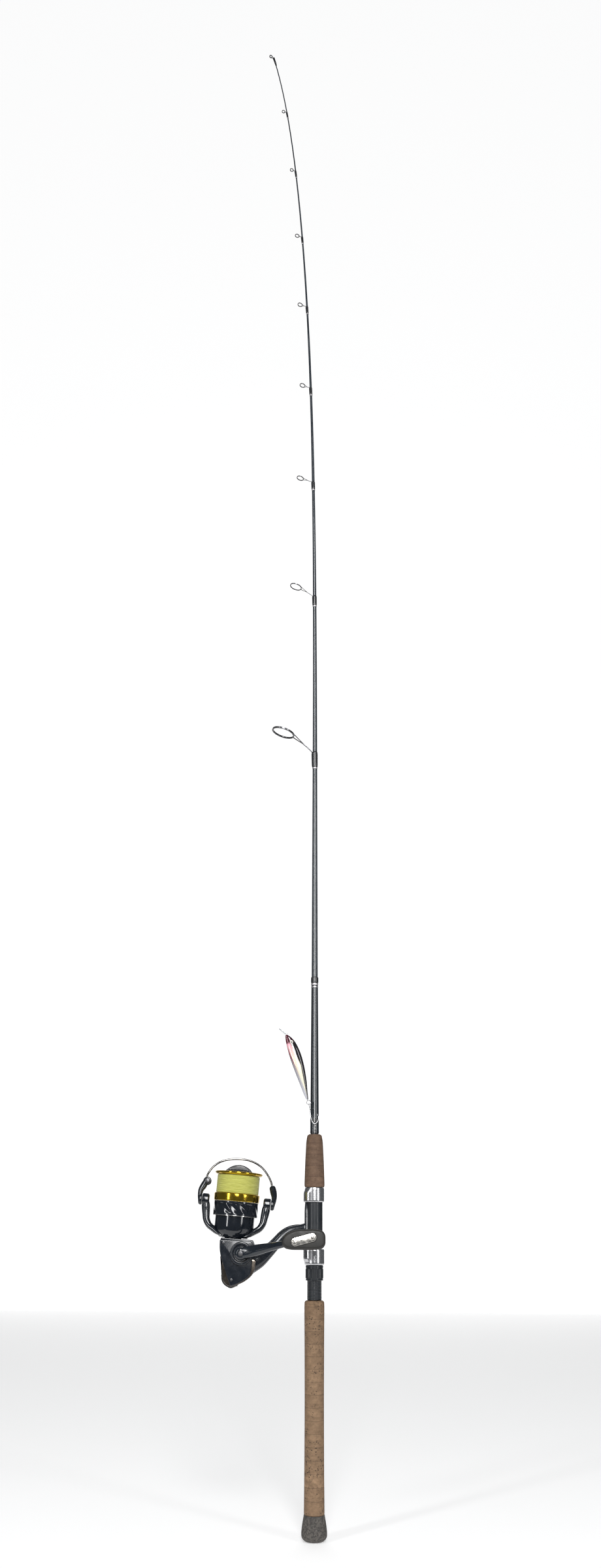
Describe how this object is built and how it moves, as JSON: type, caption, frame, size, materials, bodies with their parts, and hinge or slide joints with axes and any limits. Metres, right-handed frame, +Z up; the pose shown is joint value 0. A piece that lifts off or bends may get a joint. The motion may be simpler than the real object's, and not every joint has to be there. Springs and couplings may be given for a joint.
{
  "type": "spinning rod with reel",
  "caption": "Tall one-piece spinning rod with cork grips, reel seat, line guides and tip-top, carrying a spinning reel with bail, rotor, spool and crank handle.",
  "frame": {"origin": "centre of the butt cap's flat end", "axes": "+Z up along the rod to the tip; the reel and guides on -X; the crank handle on -Y"},
  "size_m": [0.1517, 0.1103, 2.2843],
  "materials": {
    "blank_gloss": "glossy clear-coated graphite",
    "butt_composite": "dark grey pressed cork and rubber composite",
    "cork": "bare sanded cork with dark pits",
    "cork_fine": "smooth reddish-brown cork",
    "seat_black": "satin black graphite-filled nylon",
    "nut_black": "satin black, ribbed for grip",
    "hood_silver": "polished aluminium",
    "stainless_wire": "polished stainless wire",
    "thread_winding": "black thread under clear epoxy",
    "guide_frame": "dark smoked stainless steel",
    "guide_ring": "polished black ceramic",
    "reel_gloss": "gloss black with a navy tint",
    "guard_metal": "smoked chrome",
    "bearing_steel": "ground steel",
    "gear_brass": "machined brass",
    "crank_gloss": "gloss black anodised",
    "knob_grip": "dark taupe soft-touch plastic",
    "knob_metal": "polished plate",
    "rotor_gloss": "gloss black",
    "bail_black": "gloss black",
    "roller_metal": "hard polished",
    "carbon_washer": "woven carbon washers",
    "drag_black": "black, satin",
    "spool_gold": "gold anodised, with a black skirt",
    "braid": "pale yellow-green braided line",
    "lure_paint": "painted minnow: red head, pale side, black back",
    "lure_clear": "clear diving lip",
    "hook_steel": "plated wire"
  },
  "bodies": {
    "root": {"blank": "blank_gloss", "butt_cap": "butt_composite", "rear_grip": "cork", "reel_seat": "seat_black", "fixed_hood": "hood_silver", "fore_grip": "cork_fine", "hook_keeper": "stainless_wire", "winding_trim": "thread_winding", "guide_frame_1": "guide_frame", "guide_frame_2": "guide_frame", "guide_frame_3": "guide_frame", "guide_frame_4": "guide_frame", "guide_frame_5": "guide_frame", "guide_frame_6": "guide_frame", "guide_frame_7": "guide_frame", "guide_frame_8": "guide_frame", "guide_ring_1": "guide_ring", "guide_ring_2": "guide_ring", "guide_ring_3": "guide_ring", "guide_ring_4": "guide_ring", "guide_ring_5": "guide_ring", "guide_ring_6": "guide_ring", "guide_ring_7": "guide_ring", "guide_ring_8": "guide_ring", "tip_top_frame": "guide_frame", "tip_top_ring": "guide_ring", "reel_body": "reel_gloss", "side_cover": "reel_gloss", "rear_guard": "guard_metal", "axle_cap": "reel_gloss", "axle_bearing_near": "bearing_steel", "axle_bearing_far": "bearing_steel", "pinion_bearing": "bearing_steel", "roller_clutch": "bearing_steel", "lure_body": "lure_paint", "lure_lip": "lure_clear", "split_ring": "hook_steel", "lure_hook": "hook_steel"},
    "hood": {"moving_hood": "hood_silver"},
    "nut": {"locking_nut": "nut_black"},
    "crank": {"drive_gear": "gear_brass", "crank_arm": "crank_gloss"},
    "knob": {"handle_knob": "knob_grip", "knob_plate": "knob_metal"},
    "oscillator": {"oscillating_gear": "gear_brass"},
    "rotor_assembly": {"rotor": "rotor_gloss", "pinion": "gear_brass", "rotor_nut": "bearing_steel"},
    "bail": {"bail_arm": "bail_black", "bail_cam": "bail_black", "bail_wire": "stainless_wire", "roller_screw": "bearing_steel"},
    "roller": {"line_roller": "roller_metal"},
    "shaft": {"main_shaft": "bearing_steel", "slider": "gear_brass", "drag_washers": "carbon_washer"},
    "drag": {"drag_knob": "drag_black"},
    "spool_assembly": {"spool": "spool_gold", "spool_line": "braid"}
  },
  "joints": [
    {"name": "nut_turn", "type": "hinge", "parent": "hood", "child": "nut", "pos_m": [0, 0, 0.2638], "axis": [0, 0, 1], "range_deg": [-2880, 0]},
    {"name": "hood_slide", "type": "slide", "parent": "root", "child": "hood", "axis": [0, 0, 1], "range_m": [-0.0121, 0]},
    {"name": "crank_turn", "type": "hinge", "parent": "root", "child": "crank", "pos_m": [-0.08445, 0, 0.28424], "axis": [0, 1, 0], "continuous": true},
    {"name": "knob_spin", "type": "hinge", "parent": "crank", "child": "knob", "pos_m": [-0.01283, -0.072, 0.29937], "axis": [0, 1, 0], "continuous": true},
    {"name": "oscillator_turn", "type": "hinge", "parent": "root", "child": "oscillator", "pos_m": [-0.09059, 0, 0.27182], "axis": [0, 1, 0], "continuous": true},
    {"name": "rotor_spin", "type": "hinge", "parent": "root", "child": "rotor_assembly", "pos_m": [-0.09388, 0, 0.31392], "axis": [0.0741, 0, 0.9973], "continuous": true},
    {"name": "bail_flip", "type": "hinge", "parent": "rotor_assembly", "child": "bail", "pos_m": [-0.09195, 0, 0.33985], "axis": [0.9973, 0, -0.0741], "range_deg": [0, 108]},
    {"name": "roller_spin", "type": "hinge", "parent": "bail", "child": "roller", "pos_m": [-0.12729, 0.00979, 0.36353], "axis": [0, 1, 0], "continuous": true},
    {"name": "shaft_stroke", "type": "slide", "parent": "root", "child": "shaft", "axis": [0.0741, 0, 0.9973], "range_m": [-0.0075, 0.0075]},
    {"name": "spool_spin", "type": "hinge", "parent": "shaft", "child": "spool_assembly", "pos_m": [-0.09091, 0, 0.35381], "axis": [0.0741, 0, 0.9973], "continuous": true},
    {"name": "drag_knob_turn", "type": "hinge", "parent": "shaft", "child": "drag", "pos_m": [-0.08943, 0, 0.37375], "axis": [0.0741, 0, 0.9973], "range_deg": [-540, 540]}
  ],
  "couplings": [
    {"joint": "hood_slide", "follows": "nut_turn", "m_per_rad": 0.00023873},
    {"joint": "rotor_spin", "follows": "crank_turn", "ratio": -4.75},
    {"joint": "oscillator_turn", "follows": "crank_turn", "ratio": -0.6}
  ]
}
